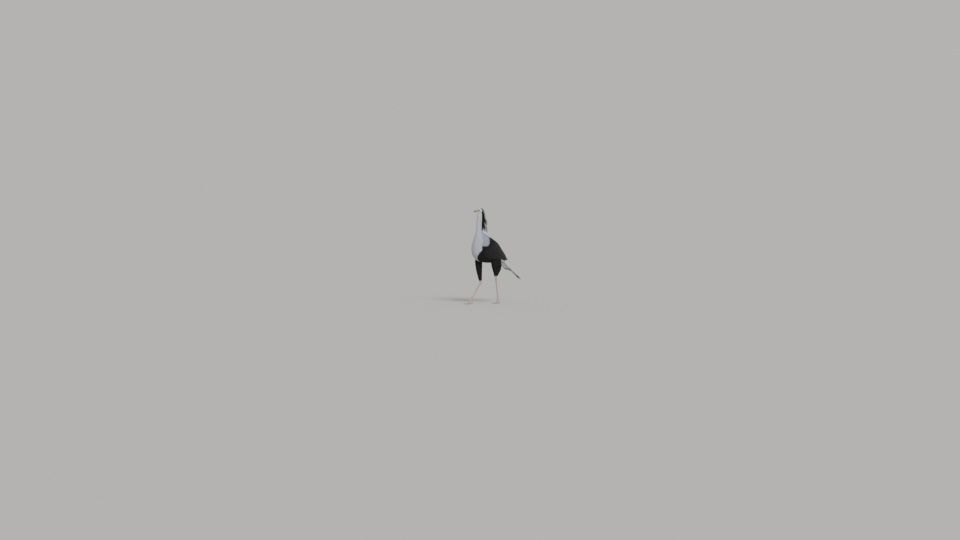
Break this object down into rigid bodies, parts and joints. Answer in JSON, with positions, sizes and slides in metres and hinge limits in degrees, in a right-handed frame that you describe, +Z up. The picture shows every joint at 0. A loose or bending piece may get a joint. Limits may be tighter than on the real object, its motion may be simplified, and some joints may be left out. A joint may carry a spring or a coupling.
{
  "type": "secretary bird",
  "caption": "Life-size long-legged ground raptor in mid-stride, with drooping nape crest, folded wings and long tail.",
  "frame": {"origin": "centre of the whole bird's box on the floor it stands on", "axes": "+Z up, the bird faces -Y and its left side is +X"},
  "size_m": [0.272, 0.911, 1.2598],
  "materials": {
    "pale_plumage": "matt pale blue-grey body feathers",
    "black_plumage": "black feathers with a faint sheen",
    "tail_plumage": "grey feathers with black bands and white tips",
    "leg_skin": "pinkish grey horny scales, satin",
    "claw_horn": "dark horn, satin",
    "bill_horn": "blue-grey horn, satin",
    "cere_skin": "bare yellow-orange skin",
    "eye_gloss": "wet gloss"
  },
  "bodies": {
    "root": {"head": "pale_plumage", "neck": "pale_plumage", "trunk": "pale_plumage", "wing_left": "black_plumage", "wing_right": "black_plumage", "thigh_left": "black_plumage", "thigh_right": "black_plumage", "crest_plume_1": "black_plumage", "crest_plume_2": "black_plumage", "crest_plume_3": "black_plumage", "crest_plume_4": "black_plumage", "crest_plume_5": "black_plumage", "crest_plume_6": "black_plumage", "crest_plume_7": "black_plumage", "crest_plume_8": "black_plumage", "crest_plume_9": "black_plumage", "crest_plume_10": "black_plumage", "tail": "tail_plumage", "tail_streamer_left": "tail_plumage", "tail_streamer_right": "tail_plumage", "tarsus_left": "leg_skin", "tarsus_right": "leg_skin", "foot_left": "leg_skin", "foot_right": "leg_skin", "claw_middle_left": "claw_horn", "claw_middle_right": "claw_horn", "claw_inner_left": "claw_horn", "claw_inner_right": "claw_horn", "claw_outer_left": "claw_horn", "claw_outer_right": "claw_horn", "claw_hind_left": "claw_horn", "claw_hind_right": "claw_horn", "bill_upper": "bill_horn", "bill_lower": "bill_horn", "cere": "cere_skin", "eye_left": "eye_gloss", "eye_right": "eye_gloss"}
  },
  "joints": []
}
